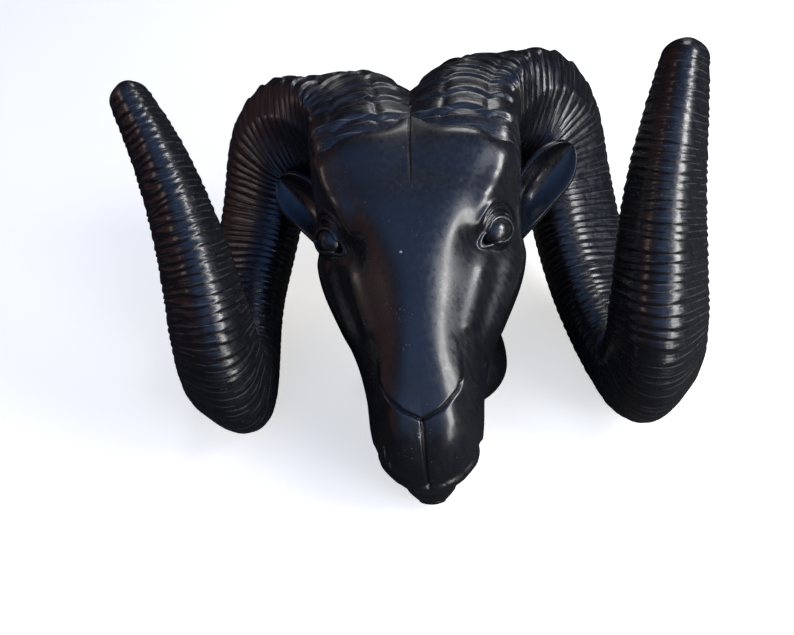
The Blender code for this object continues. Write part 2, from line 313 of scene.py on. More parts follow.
def make_mesh(name: str, grid: np.ndarray, stance: Optional[Stance] = STANCE,
              marks: Optional[np.ndarray] = None) -> bpy.types.Object:
    """Makes a closed tube-like mesh from a grid whose rows are rings, with a fan closing each end.

    Args:
        name: The object's name.
        grid: Points, rings by sides by 3.
        stance: Places the points, or None where they are already in the world.
        marks: Pattern places for the points, kept as the attribute that MARKS names.

    Returns:
        The new object, shaded smooth, with its faces outwards.
    """
    rings, sides = grid.shape[:2]
    ends = np.stack([grid[0].mean(axis=0), grid[-1].mean(axis=0)])
    points = np.concatenate([grid.reshape(-1, 3), ends])
    if stance is not None:
        points = stance.world(points)
    row, column = np.meshgrid(np.arange(rings - 1), np.arange(sides), indexing="ij")
    beside = (column + 1) % sides
    quads = np.stack([
        row * sides + column, row * sides + beside, (row + 1) * sides + beside, (row + 1) * sides + column,
    ], -1).reshape(-1, 4)
    around = np.arange(sides)
    after = (around + 1) % sides
    last = (rings - 1) * sides
    low = np.stack([after, around, np.full(sides, rings * sides)], -1)
    high = np.stack([last + around, last + after, np.full(sides, rings * sides + 1)], -1)
    a, b, c, d = (points[quads[:, corner]] for corner in range(4))
    if np.sum(a * (np.cross(b, c) + np.cross(c, d))) < 0:
        quads, low, high = quads[:, ::-1], low[:, ::-1], high[:, ::-1]
    mesh = bpy.data.meshes.new(name)
    loops = np.concatenate([quads.ravel(), low.ravel(), high.ravel()])
    sizes = np.concatenate([np.full(len(quads), 4), np.full(2 * sides, 3)])
    mesh.vertices.add(len(points))
    mesh.vertices.foreach_set("co", points.astype(np.float32).ravel())
    mesh.loops.add(len(loops))
    mesh.loops.foreach_set("vertex_index", loops.astype(np.int32))
    mesh.polygons.add(len(sizes))
    mesh.polygons.foreach_set("loop_start", np.concatenate([[0], np.cumsum(sizes)[:-1]]).astype(np.int32))
    mesh.update(calc_edges=True)
    if marks is not None:
        ends = np.stack([marks[0].mean(axis=0), marks[-1].mean(axis=0)])
        places = np.concatenate([marks.reshape(-1, 3), ends])
        kept = mesh.attributes.new(MARKS, "FLOAT_VECTOR", "POINT")
        kept.data.foreach_set("vector", places.astype(np.float32).ravel())
    mesh.validate()
    mesh.shade_smooth()
    piece = bpy.data.objects.new(name, mesh)
    bpy.context.scene.collection.objects.link(piece)
    return piece


@dataclass
class Horn:
    """One horn: a three-sided section carried along a curl, ribbed across."""

    side: Side
    stations: tuple[tuple[float, float, float, float], ...]
    seed: int
    spread: float = 0.2195
    rise: float = 0.190
    sweep: float = 0.176
    flatness: float = 0.105
    front_depth: float = 0.90
    outer_squareness: float = 4.5
    inner_squareness: float = 2.7
    front_ends: Pair = (0.24, 0.38)
    troughs: Pair = (0.47, -0.42)
    trough_depth: float = 0.022
    trough_width: float = 0.06
    crest: float = 0.012
    crest_at: float = 0.80
    crest_width: float = 0.10
    keel: float = 0.026
    keel_width: float = 0.16
    twist: float = math.radians(50.0)
    twist_ends: Pair = (0.10, 0.25)
    root_girth: float = 0.90
    root_end: float = 0.030
    root_sink: float = 0.015
    ribs_start: float = 0.020
    ribs: int = 50
    rib_height: float = 0.00230
    rib_climb: float = 0.17
    ribs_fade: Pair = (0.30, 0.44)
    lines_per_rib: float = 1.9
    line_height: float = 0.00105
    wrinkles_per_rib: float = 2.1
    wrinkle_height: float = 0.00140
    wrinkle_climb: float = 0.24
    wrinkles_start: Pair = (0.42, 0.56)
    full_height_girth: float = 0.042
    tip_rounding: float = 0.85
    join: float = 0.028
    joined: float = 0.34
    mark_girth: float = 0.005
    rows: int = 830
    sides: int = 118
    cap_rows: int = 14

    def __post_init__(self) -> None:
        """Works out the centre line, the section directions and the radii once."""
        self.share = np.linspace(0.0, 1.0, self.rows)
        line = along(np.array(self.stations) * (self.spread, self.rise, self.sweep, 1.0), self.share)
        sunk = self.root_sink * (1 - smooth(0.0, 2 * self.root_end, self.share))
        full = smooth(0.0, self.root_end, self.share)
        self.radius = line[:, 3] * (self.root_girth + (1 - self.root_girth) * full)
        self.tangent = unit(np.gradient(line[:, :3], axis=0))
        self.centre = line[:, :3] - sunk[:, None] * (0.0, 0.0, 1.0)
        self.front, self.across = transport(self.tangent, np.array((0.0, 0.0, 1.0)))
        self.length = np.linalg.norm(np.diff(self.centre, axis=0), axis=1).sum()

    def turn_at(self, share: np.ndarray) -> np.ndarray:
        """How far the section has turned at each share of the length."""
        return self.twist * smooth(*self.twist_ends, share)

    def outline(self, share: np.ndarray, angle: np.ndarray) -> np.ndarray:
        """The section as a share of the radius, at angles from the middle of its front face.

        It is 1 - flatness * cos(3 angle). Near the skull the front half is a superellipse instead,
        (|cos / depth|^p + |sin|^p)^(-1/p), which gives a broad face between two edges. A narrow
        crest stands on the outer edge and on the keel, and two troughs run down the front face.

        Args:
            share: Place along the horn.
            angle: Angle round the section, positive outwards.

        Returns:
            Reach over radius.
        """
        turn = wrapped(angle)
        three_sided = 1 - self.flatness * np.cos(3 * turn)
        power = np.where(np.sin(turn) > 0, self.outer_squareness, self.inner_squareness)
        deep = np.abs(np.cos(turn) / self.front_depth)
        square = (deep**power + np.abs(np.sin(turn)) ** power) ** (-1 / power)
        root = 1 - smooth(*self.front_ends, share)
        shape = three_sided + (square - three_sided) * np.where(np.cos(turn) > 0, root, 0)
        shape = shape + self.keel * bell(np.abs(turn) - math.pi, self.keel_width)
        shape = shape + self.crest * root * bell(turn - self.crest_at, self.crest_width)
        troughs = sum(bell(turn - trough, self.trough_width) for trough in self.troughs)
        return shape - self.trough_depth * root * smooth(0.03, 0.06, share) * troughs

    def ribbing(self, share: np.ndarray, angle: np.ndarray) -> np.ndarray:
        """Height of the ribs: lapped steps on the front face, fine lines on the sides.

        A step climbs fast from its groove and falls back slowly, u = (place / pitch) mod 1. On the
        front face it bows toward the tip between the troughs. Past the bend the ribs break up into
        uneven wrinkles, whose places a wave pattern bends.

        Args:
            share: Place along the horn.
            angle: Angle round the section.

        Returns:
            Heights in metres for the thickest part of the horn.
        """
        turn = wrapped(angle)
        wander = waves(share * 22, angle, self.seed)
        drift = waves(share * 60, angle, self.seed + 5)

        def steps(place: np.ndarray, rise: float) -> np.ndarray:
            """Lapped steps of height 1 for each whole number of place."""
            u = place - np.floor(place)
            return smooth(0.0, rise, u) * (1 - smooth(rise, 1.0, u) ** 0.8)

        def bow(start: float, width: float) -> np.ndarray:
            """An arch of height 1 over a strip of the front face, from an angle on."""
            return np.abs(np.sin(math.pi * (turn - start) / width))

        outer, inner = self.troughs
        lobe = np.where(turn > outer, bow(outer, 0.42) * 0.20, np.where(
            turn < inner, bow(inner, 0.5) * 0.16, bow(inner, outer - inner) ** 0.8 * 0.42))
        on_face = smooth(1.02, 0.86, turn) * smooth(-1.35, -1.10, turn) * (1 - smooth(*self.ribs_fade, share))
        rib = steps(self.ribs * share - lobe + 0.06 * wander, self.rib_climb)
        place = self.lines_per_rib * self.ribs * share
        line = np.abs(np.sin(math.pi * (place + 0.16 * wander + 0.05 * drift))) ** 0.7
        place = self.wrinkles_per_rib * self.ribs * share
        wrinkle = steps(place + 0.24 * wander + 0.12 * drift, self.wrinkle_climb)
        wrinkle = wrinkle * (0.80 + 0.20 * waves(share * 34, angle, self.seed + 9))
        near = self.rib_height * rib * on_face + self.line_height * line * (1 - on_face)
        past = smooth(*self.wrinkles_start, share)
        starts = smooth(self.ribs_start, self.ribs_start + 0.022, share)
        return (near * (1 - past) + self.wrinkle_height * wrinkle * past) * starts

    def surface(self, others: tuple[Distance, ...]) -> np.ndarray:
        """The horn's points: centre + reach * (front cos b + across sin b), rounded over at the tip.

        The angle b is the section's own angle less the turn of the section there.

        Args:
            others: Distance functions of the bodies that the horn's root flows into.

        Returns:
            A grid of face-frame points, rows by sides by 3.
        """
        angle = full_turn(self.sides)
        share = self.share[:, None]
        thick = self.radius[:, None]
        reach = thick * self.outline(share, angle)
        reach = reach + self.ribbing(share, angle) * (thick / self.full_height_girth) ** 0.5
        turned = angle - self.turn_at(share)
        front, across = self.front[:, None], self.across[:, None]
        ring = np.cos(turned)[..., None] * front + np.sin(turned)[..., None] * across
        grid = self.centre[:, None] + reach[..., None] * ring
        turn = np.linspace(0.12, 1.50, self.cap_rows)
        rounding = self.radius[-1] * self.tip_rounding * np.sin(turn)
        forward = self.centre[-1] + self.tangent[-1] * rounding[:, None]
        cap = forward[:, None] + (np.cos(turn)[:, None] * reach[-1])[..., None] * ring[-1]
        grid = np.concatenate([grid, cap]) * self.side.mirror
        near = slice(0, int(self.joined * self.rows))
        normal = grid_normals(grid[near], (self.centre * self.side.mirror)[near, None])
        for other in others:
            grid[near] += normal * evened(fillet(other(grid[near]), self.join))[..., None]
        return grid

    def marks(self) -> np.ndarray:
        """Pattern places: (c cos b, c sin b, length along the horn), which meet round the horn.

        Returns:
            One place for each point of the surface's grid.
        """
        angle = full_turn(self.sides)
        past = self.length + np.linspace(0.001, 0.014, self.cap_rows)
        rows = np.concatenate([self.share * self.length, past])[:, None]
        girth = self.mark_girth
        return np.stack(np.broadcast_arrays(girth * np.cos(angle), girth * np.sin(angle), rows), -1)

    def distance(self, points: np.ndarray) -> np.ndarray:
        """Rough distance from points to the root of the horn's surface, negative inside.

        It is the length of the offset from the nearest centre-line point, less the section's reach there.

        Args:
            points: Face-frame points, any shape by 3.

        Returns:
            Distances, the same shape without the 3.
        """
        step = 5
        root = slice(0, int(0.32 * self.rows), step)
        flat = points.reshape(-1, 3) * self.side.mirror
        offset = flat[:, None] - self.centre[root][None]
        nearest = np.argmin((offset**2).sum(-1) - self.radius[root] ** 2, axis=1)
        pick = offset[np.arange(len(flat)), nearest]
        tangent = self.tangent[root][nearest]
        half = 0.5 * step * self.length / self.rows
        run = np.clip((pick * tangent).sum(-1), np.where(nearest == 0, 0.0, -half), half)
        pick = pick - run[:, None] * tangent
        forward = (pick * self.front[root][nearest]).sum(-1)
        sideways = (pick * self.across[root][nearest]).sum(-1)
        place = self.share[root][nearest] + run / self.length
        angle = np.arctan2(sideways, forward) + self.turn_at(place)
        reach = np.interp(place, self.share, self.radius) * self.outline(place, angle)
        return (np.linalg.norm(pick, axis=-1) - reach).reshape(points.shape[:-1])


@dataclass(frozen=True)
class Hill:
    """A hill of the modelling on both sides of the face, or a hollow where its height is negative."""

    height: float
    place: Pair
    size: Pair

    def rise(self, x: np.ndarray, t: np.ndarray) -> np.ndarray:
        """Its height at (x, t): a bell across the face times a bell up it."""
        return self.height * bell(x - self.place[0], self.size[0]) * bell(t - self.place[1], self.size[1])


@dataclass(frozen=True)
class Ridge:
    """A ridge along a line on both sides of the face, or a cut where its height is negative."""

    height: float
    width: float
    points: tuple[Pair, ...]

    def gap(self, x: np.ndarray, t: np.ndarray) -> np.ndarray:
        """Distance in the (x, t) plane to the line of points: the least over its straight runs.

        Args:
            x: Across the face, without its sign.
            t: Up the face.

        Returns:
            Distances in metres.
        """
        best = np.full(np.broadcast(x, t).shape, 1.0)
        for (ax, at), (bx, bt) in zip(self.points[:-1], self.points[1:]):
            dx, dt = bx - ax, bt - at
            share = np.clip(((x - ax) * dx + (t - at) * dt) / (dx * dx + dt * dt), 0, 1)
            best = np.minimum(best, np.hypot(x - ax - share * dx, t - at - share * dt))
        return best

    def rise(self, x: np.ndarray, t: np.ndarray) -> np.ndarray:
        """Its height at (x, t): a bell of the distance to the line."""
        return self.height * bell(self.gap(x, t), self.width)


@dataclass
class Head:
    """The head from chin to poll, as sections across the face with its modelling laid over them."""

    sections: tuple[tuple[float, ...], ...]
    modelling: tuple[Hill | Ridge, ...]
    brow_cut: Ridge
    nose: Ridge
    eyes: tuple["Eye", ...]
    overhang: float = 0.0030
    overhang_reach: float = 0.010
    chin_bulge: float = 0.0034
    poll_bulge: float = 0.010
    join: float = 0.028
    rings: int = 331
    sides: int = 284
    table_rings: int = 120
    table_sides: int = 180

    def __post_init__(self) -> None:
        """Works out the table that distance() reads: the sections' radii by height and direction."""
        self.low, self.high = self.sections[0][0], self.sections[-1][0]
        height = np.linspace(self.low, self.high, self.table_rings)
        grid, _ = self.plain(height, np.arange(400) / 400)
        self.middle = (grid[..., 2].max(axis=1) + grid[..., 2].min(axis=1)) / 2
        away = np.arctan2(grid[..., 0], grid[..., 2] - self.middle[:, None])
        length = np.hypot(grid[..., 0], grid[..., 2] - self.middle[:, None])
        turn = np.linspace(-math.pi, math.pi, self.table_sides)
        self.polar = np.array([np.interp(turn, a, r, period=2 * math.pi) for a, r in zip(away, length)])
        rise = np.gradient(self.polar, height, axis=0)
        swing = np.gradient(self.polar, turn, axis=1) / self.polar
        self.slant = 1 / np.sqrt(1 + rise**2 + swing**2)

    def lines(self, height: np.ndarray) -> np.ndarray:
        """The five feature points of one side of the section at each height.

        Args:
            height: Heights t to read.

        Returns:
            The points as (x, w), heights by 5 by 2.
        """
        table = np.array(self.sections)
        nothing = 0 * table[:, 0]
        rows = np.stack([
            np.column_stack([nothing, table[:, 1]]), table[:, 2:4], table[:, 4:6], table[:, 6:8],
            np.column_stack([nothing, table[:, 8]]),
        ], axis=1)
        return spline(table[:, 0], rows, height)

    def plain(self, height: np.ndarray, at: np.ndarray) -> tuple[np.ndarray, np.ndarray]:
        """The head without its modelling.

        Args:
            height: Heights of the rings.
            at: Places round each ring, as shares from the bridge round to the right.

        Returns:
            The points, and the depth w of the jaw line of each ring.
        """
        found = self.lines(height)
        rings = []
        for t, half in zip(height, found):
            other = half[1:-1][::-1] * (-1, 1)
            outline = closed_curve(np.concatenate([half, other]), at)
            rings.append(np.column_stack([outline[:, 0], np.full(len(at), t), outline[:, 1]]))
        return np.array(rings), found[:, 3, 1]

    def spacing(self) -> tuple[np.ndarray, np.ndarray]:
        """Heights and places round, set closer by the eyes: even steps of the running sum of a density.

        Returns:
            The heights of the rings, and the places round them.
        """
        t = np.linspace(self.low, self.high, 4000)
        dense = 1.0 + 1.7 * bell(t - 0.066, 0.030) + 0.9 * bell(t + 0.075, 0.018)
        total = np.cumsum(dense) - dense[0]
        height = np.interp(np.linspace(0, total[-1], self.rings), total, t)
        u = np.linspace(0.0, 1.0, 4001)
        away = np.minimum(u, 1 - u)
        dense = 0.35 + 0.75 * smooth(0.34, 0.22, away) + 2.0 * bell(away - 0.178, 0.050)
        dense = dense + 3.2 * bell(away, 0.008)
        total = np.cumsum(dense) - dense[0]
        return height, np.interp(np.arange(self.sides) / self.sides * total[-1], total, u)

    def surface(self, horns: tuple[Distance, ...], neck: Distance) -> np.ndarray:
        """The head's points: the plain rings, moved along their normals by the face's relief.

        Args:
            horns: Distance functions of the horns, which its upper half flows into.
            neck: The neck's distance function.

        Returns:
            A grid of face-frame points.
        """
        height, at = self.spacing()
        grid, jaw = self.plain(height, at)
        normal = grid_normals(grid, grid.mean(axis=1, keepdims=True))
        front = smooth(0.0, 0.020, grid[..., 2] - jaw[:, None])
        grid = grid + normal * (self.relief(grid[..., 0], grid[..., 1]) * front)[..., None]
        upper = int(np.searchsorted(height, 0.0))
        for other, start in [(horn, upper) for horn in horns] + [(neck, 0)]:
            grid[start:] += normal[start:] * evened(fillet(other(grid[start:]), self.join))[..., None]
        for eye in self.eyes:
            grid = eye.carve(grid)
        return self.close(grid)

    def close(self, grid: np.ndarray) -> np.ndarray:
        """Rounds both ends over: each added ring shrinks by cos and moves on by sin of a rising angle.

        Args:
            grid: The head's points.

        Returns:
            The points with ten rings more at either end.
        """
        turn = np.linspace(0.15, 1.5, 10)
        parts = []
        for end, bulge in ((grid[0], -self.chin_bulge), (grid[-1], self.poll_bulge)):
            middle = end.mean(axis=0)
            ring = middle + np.cos(turn)[:, None, None] * (end - middle)
            parts.append(ring + np.sin(turn)[:, None, None] * np.array((0.0, bulge, 0.0)))
        return np.concatenate([parts[0][::-1], grid, parts[1]])

    def relief(self, x: np.ndarray, t: np.ndarray) -> np.ndarray:
        """Height of the modelling at (x, t): its hills, ridges and cuts, and the end of the bridge.

        The bridge hangs over the nose line by overhang * exp(-gap / reach), where gap is the
        distance to that line, and only above it.

        Args:
            x: Across the face.
            t: Up the face.

        Returns:
            Heights in metres.
        """
        x = np.abs(x)
        height = sum(form.rise(x, t) for form in self.modelling)
        height = height + self.brow_cut.rise(x, t) * smooth(0.098, 0.130, t)
        gap = self.nose.gap(x, t)
        across, up = np.array(self.nose.points[::-1]).T
        lip = np.where(t > np.interp(x, across, up), self.overhang * np.exp(-gap / self.overhang_reach), 0.0)
        return height + (lip + self.nose.height * bell(gap, self.nose.width)) * smooth(0.0345, 0.0285, x)

    def distance(self, points: np.ndarray) -> np.ndarray:
        """Rough distance to the head: radius from the ring's middle less the ring's own radius there.

        The surface's slant makes the true distance shorter, so it is multiplied by the slant's cosine.

        Args:
            points: Face-frame points, any shape by 3.

        Returns:
            Distances, negative inside.
        """
        t = points[..., 1]
        row = np.clip((t - self.low) / (self.high - self.low), 0, 1) * (self.table_rings - 1)
        i = np.minimum(row.astype(int), self.table_rings - 2)
        f = row - i
        middle = self.middle[i] * (1 - f) + self.middle[i + 1] * f
        turn = np.arctan2(points[..., 0], points[..., 2] - middle)
        column = (turn + math.pi) / (2 * math.pi) * (self.table_sides - 1)
        j = np.minimum(column.astype(int), self.table_sides - 2)
        g = column - j
        reach, slant = (
            table[i, j] * (1 - f) * (1 - g) + table[i + 1, j] * f * (1 - g)
            + table[i, j + 1] * (1 - f) * g + table[i + 1, j + 1] * f * g
            for table in (self.polar, self.slant)
        )
        reach = reach + self.relief(points[..., 0], t) * smooth(-0.090, -0.070, points[..., 2])
        beyond = np.maximum(np.maximum(t - self.high, self.low - t), 0)
        return (np.hypot(points[..., 0], points[..., 2] - middle) - reach) * slant + beyond


@dataclass
class Neck:
    """The short neck: egg-shaped sections from the flat base up into the head."""

    sections: tuple[tuple[float, float, float, float, float], ...]
    join: float = 0.022
    rings: int = 90
    sides: int = 160

    def reach(self, height: np.ndarray) -> np.ndarray:
        """Middle, half width, reach to the throat and reach to the nape at each height."""
        table = np.array(self.sections)
        return spline(table[:, 1], table[:, (0, 2, 3, 4)], height)

    def distance(self, points: np.ndarray) -> np.ndarray:
        """Rough distance to the neck: radius from its middle line, less the egg's radius that way.

        Args:
            points: Face-frame points, any shape by 3.

        Returns:
            Distances, negative inside.
        """
        place = STANCE.world(points)
        flat = place.reshape(-1, 3)
        row = self.reach(flat[:, 2])
        x, y = flat[:, 0] + STANCE.centre[0], flat[:, 1] + STANCE.centre[1] - row[:, 0]
        deep = np.where(y < 0, row[:, 2], row[:, 3])
        scale = np.hypot(x / row[:, 1], y / deep)
        beyond = np.maximum(flat[:, 2] - self.sections[-1][1], 0)
        return ((1 - 1 / np.maximum(scale, 1e-6)) * np.hypot(x, y) + beyond).reshape(points.shape[:-1])

    def surface(self, head: Distance) -> np.ndarray:
        """The neck's points in the world, with a flat base and a swelling where it meets the head.

        Args:
            head: The head's distance function.

        Returns:
            A grid of world points.
        """
        top = self.sections[-1][1]
        height = np.concatenate([[0.0, 0.0, 0.0], np.linspace(0.0, 1.0, self.rings) ** 1.4 * top])
        shrink = np.concatenate([[0.02, 0.6, 0.985], np.ones(self.rings)])
        row = self.reach(height) * np.column_stack([np.ones_like(shrink), shrink, shrink, shrink])
        angle = full_turn(self.sides)
        deep = np.where(np.sin(angle) < 0, row[:, 2:3], row[:, 3:4])
        grid = np.stack([
            row[:, 1:2] * np.cos(angle) - STANCE.centre[0],
            row[:, 0:1] + deep * np.sin(angle) - STANCE.centre[1],
            np.broadcast_to(height[:, None], deep.shape),
        ], -1)
        outward = unit(np.stack([
            np.cos(angle) / row[:, 1:2], np.sin(angle) / deep, np.zeros_like(deep)], -1))
        swell = fillet(head(STANCE.face(grid)), self.join) * (height[:, None] > 0.01)
        return grid + outward * swell[..., None]


@dataclass
class Ear:
    """One cupped ear: a leaf of crescent sections from its root to its tip."""

    side: Side
    tip: Triple
    root: Triple = (0.077, 0.074, -0.088)
    opens: Triple = (0.45, -0.10, 0.88)
    half_width: float = 0.0215
    cup: float = 0.0125
    thickness: float = 0.0052
    sag: float = 0.010
    rings: int = 120
    sides: int = 144

    def surface(self) -> np.ndarray:
        """The ear's points: a bowed section bow * |u|^2.4, u = cos a, with a wall either side of it.

        The wall goes as |sin a|^0.62, which rounds the rim, and the hollow fills up toward the root.

        Returns:
            A grid of face-frame points.
        """
        root, tip = np.array(self.root), np.array(self.tip)
        way = unit(tip - root)
        opens = np.array(self.opens)
        opens = unit(opens - way * (opens @ way))
        across = np.cross(way, opens)
        share = np.linspace(0.0, 1.0, self.rings)[:, None]
        half = self.half_width * (0.36 + 0.64 * np.sin(math.pi * np.minimum(1.0, 0.20 + 0.52 * share) ** 1.1))
        half = half * np.sqrt(np.maximum(0.02, 1 - np.maximum(0, (share - 0.62) / 0.385) ** 2))
        bow = self.cup * half / self.half_width
        turn = full_turn(self.sides)[None]
        middle = np.cos(turn)
        hollow = smooth(0.02, 0.42, share)
        wall = 0.5 * self.thickness * np.sign(np.sin(turn)) * np.abs(np.sin(turn)) ** 0.62
        wall = wall * (1 + 0.35 * middle**2) * np.where(wall < 0, 1.35, 1.0)
        plump = (1 - hollow) * np.where(wall > 0, 1 - middle**2, 0) * 0.55
        sideways = half * middle - 2 * bow * middle / half * wall
        upward = bow * (np.abs(middle) ** 2.4 + plump) + wall - 0.5 * self.thickness
        centre = root + (tip - root) * share - opens * self.sag * np.sin(math.pi * share)
        grid = centre[:, None] + sideways[..., None] * across + upward[..., None] * opens
        return grid * self.side.mirror


@dataclass
class Eye:
    """One eye: the ball, and the lids and folds carved into the head round it."""

    side: Side
    place: Triple
    facing: Triple = (0.52, -0.02, 0.85)
    radius: float = 0.0135
    opening: float = 0.0100
    fold: float = 0.0152
    lid: float = 0.0019
    corner_at: float = math.radians(-146)
    corner_length: float = 0.0085
    fold_corner: float = 0.0095
    outer_at: float = math.radians(8)
    sunk: float = 0.0150
    brow_rise: float = 0.0017
    roll_rise: float = 0.0019
    crease_depth: float = 0.0019
    second_depth: float = 0.0013

    def directions(self) -> tuple[np.ndarray, np.ndarray, np.ndarray]:
        """The way the eye faces, its up direction and the direction across it, outwards.

        Returns:
            The three unit directions.
        """
        facing = unit(np.array(self.facing))
        up = unit(np.array((0.0, 1.0, 0.0)) - facing * facing[1])
        return facing, up, np.cross(up, facing)

    def ball(self) -> np.ndarray:
        """The eyeball: centre + radius * (facing cos a + (up sin b + across cos b) sin a).

        Returns:
            A grid of face-frame points.
        """
        facing, up, across = self.directions()
        a = np.linspace(0.02, math.pi - 0.02, 60)[:, None, None]
        b = full_turn(90)[None, :, None]
        grid = np.array(self.place) + self.radius * (
            facing * np.cos(a) + (up * np.sin(b) + across * np.cos(b)) * np.sin(a))
        return grid * self.side.mirror

    def carve(self, grid: np.ndarray) -> np.ndarray:
        """Carves the lids: moves points near the eye along its facing to the lids' height.

        In the plane across the eye, rho and phi are a point's distance and direction from the
        centre. The opening and the fold are circles drawn out to a corner, a Gaussian in phi. Inside
        the opening the skin sinks behind the ball. From there to the fold it lies on a sphere a lid's
        thickness larger, swollen by sin(pi q), q being the share of the way. Two creases, Gaussians
        of rho less the fold's radius, part the lids from the brow and the cheek.

        Args:
            grid: Face-frame points.

        Returns:
            The points with the eye carved in.
        """
        facing, up, across = self.directions()
        offset = grid * self.side.mirror - np.array(self.place)
        a, b, c = offset @ across, offset @ up, offset @ facing
        rho, phi = np.hypot(a, b), np.arctan2(b, a)
        corner = bell(wrapped(phi - self.corner_at), 0.34)
        outer = bell(wrapped(phi - self.outer_at), 0.40)
        upper = smooth(-0.25, 0.35, np.sin(phi))
        opening = self.opening * (1 - 0.10 * np.abs(np.sin(phi))) + self.corner_length * corner + 0.0006 * outer
        fold = self.fold * (1 - 0.04 * (1 - upper)) + self.fold_corner * corner + 0.0016 * outer
        q = np.clip((rho - opening) / (fold - opening), 0, 1)
        sphere = np.sqrt(np.maximum((self.radius + self.lid) ** 2 - rho**2, 1e-8))
        sphere = np.where(rho < self.radius * 0.95, sphere, sphere[rho < self.radius].min())
        lids = sphere + (0.0010 + 0.0008 * upper) * np.sin(math.pi * q)
        near = smooth(1.45, 1.0, (rho - opening) / (fold - opening))
        high = np.maximum(c, lids * near + c * (1 - near))
        height = c + (high - c) * near
        past = rho - fold
        height = height - self.crease_depth * bell(past, 0.0008) * (0.4 + 0.6 * upper)
        height = height - self.second_depth * bell(past - 0.0052, 0.0010) * upper * smooth(2.9, 2.3, phi)
        height = height + self.roll_rise * bell(past - 0.0026, 0.0018) * upper
        height = height + self.brow_rise * bell(past - 0.0085, 0.0024) * smooth(-0.05, 0.55, np.sin(phi))
        height = height - self.sunk * smooth(0.0, -0.0009, rho - opening)
        active = (c > -0.012) & (rho < 0.040)
        moved = np.where(active, height - c, 0.0)
        return grid + moved[..., None] * (facing * self.side.mirror)


class Maths(Enum):
    """The sums that Math nodes do here."""

    ADD = "ADD"
    SUBTRACT = "SUBTRACT"
    MULTIPLY = "MULTIPLY"
    DIVIDE = "DIVIDE"
    POWER = "POWER"
    ABSOLUTE = "ABSOLUTE"


def feed(tree: bpy.types.NodeTree, socket: bpy.types.NodeSocket, value: object) -> None:
    """Links an input to another socket, or sets it to a constant.

    Args:
        tree: The tree that holds both.
        socket: The input.
        value: A socket, number, colour or vector.
    """
    if isinstance(value, bpy.types.NodeSocket):
        tree.links.new(value, socket)
    else:
        socket.default_value = value


def node(tree: bpy.types.NodeTree, kind: str, **inputs: object) -> bpy.types.Node:
    """Adds a node and sets its inputs, by name with _ for a space.

    Args:
        tree: Where the node goes.
        kind: The node's type name, without ShaderNode.
        inputs: A number, colour or socket for each input.

    Returns:
        The node.
    """
    made = tree.nodes.new("ShaderNode" + kind)
    for name, value in inputs.items():
        feed(tree, made.inputs[name.replace("_", " ")], value)
    return made


def ramp(tree: bpy.types.NodeTree, value: Socket, low: float, high: float) -> Socket:
    """A value mapped from low..high to 0..1 and held there."""
    return node(tree, "MapRange", Value=value, From_Min=low, From_Max=high).outputs["Result"]


def mix(tree: bpy.types.NodeTree, share: object, first: object, second: object) -> Socket:
    """A colour between first and second by share.

    Args:
        tree: Where the node goes.
        share: How much of the second shows, a number or a socket.
        first: A colour or a socket.
        second: The same.

    Returns:
        The mixed colour's socket.
    """
    made = node(tree, "Mix")
    made.data_type = "RGBA"
    for index, value in ((0, share), (6, first), (7, second)):
        feed(tree, made.inputs[index], value)
    return made.outputs[2]


def reckon(tree: bpy.types.NodeTree, kind: Maths, first: object, second: object = 0.0,
           held: bool = False) -> Socket:
    """A Math node's result for two values.

    Args:
        tree: Where the node goes.
        kind: The sum.
        first: A number or a socket.
        second: The same, for sums that take two.
        held: Whether the result is held between 0 and 1.

    Returns:
        The result's socket.
    """
    made = node(tree, "Math")
    made.operation = kind.value
    made.use_clamp = held
    feed(tree, made.inputs[0], first)
    feed(tree, made.inputs[1], second)
    return made.outputs[0]


def times(tree: bpy.types.NodeTree, first: object, second: object) -> Socket:
    """The product of two values."""
    return reckon(tree, Maths.MULTIPLY, first, second)


def plus(tree: bpy.types.NodeTree, first: object, second: object) -> Socket:
    """The sum of two values."""
    return reckon(tree, Maths.ADD, first, second)


def object_place(tree: bpy.types.NodeTree) -> Socket:
    """The Object coordinates."""
    return node(tree, "TexCoord").outputs["Object"]


def noise(tree: bpy.types.NodeTree, place: Socket, scale: object, detail: float) -> Socket:
    """A noise texture's value."""
    return node(tree, "TexNoise", Vector=place, Scale=scale, Detail=detail).outputs["Fac"]


def new_group(name: str, inputs: dict[str, float], outputs: tuple[str, ...],
              ) -> "tuple[bpy.types.NodeTree, bpy.types.NodeOutputs, bpy.types.NodeInputs]":
    """An empty shader group whose inputs and outputs are numbers.

    Args:
        name: The group's name.
        inputs: The inputs' names and defaults.
        outputs: The outputs' names.

    Returns:
        The group's tree, the sockets that its inputs come from, and those that take its outputs.
    """
    tree = bpy.data.node_groups.new(name, "ShaderNodeTree")
    for label, value in inputs.items():
        socket = tree.interface.new_socket(label, in_out="INPUT", socket_type="NodeSocketFloat")
        socket.default_value = value
    for label in outputs:
        tree.interface.new_socket(label, in_out="OUTPUT", socket_type="NodeSocketFloat")
    return tree, tree.nodes.new("NodeGroupInput").outputs, tree.nodes.new("NodeGroupOutput").inputs


def edge_wear_group() -> bpy.types.NodeTree:
    """Worn crests: the mesh's pointiness past a threshold, broken up by noise.

    Returns:
        The group, with inputs Threshold, Spread and Patch Scale and output Wear.
    """
    inputs = {"Threshold": 0.53, "Spread": 0.05, "Patch Scale": 60.0}
    tree, given, result = new_group("edge_wear", inputs, ("Wear",))
    point = node(tree, "NewGeometry").outputs["Pointiness"]
    over = reckon(tree, Maths.SUBTRACT, point, given["Threshold"])
    crest = reckon(tree, Maths.DIVIDE, over, given["Spread"], held=True)
    patch = ramp(tree, noise(tree, object_place(tree), given["Patch Scale"], 4.0), 0.42, 0.62)
    feed(tree, result["Wear"], times(tree, crest, patch))
    return tree


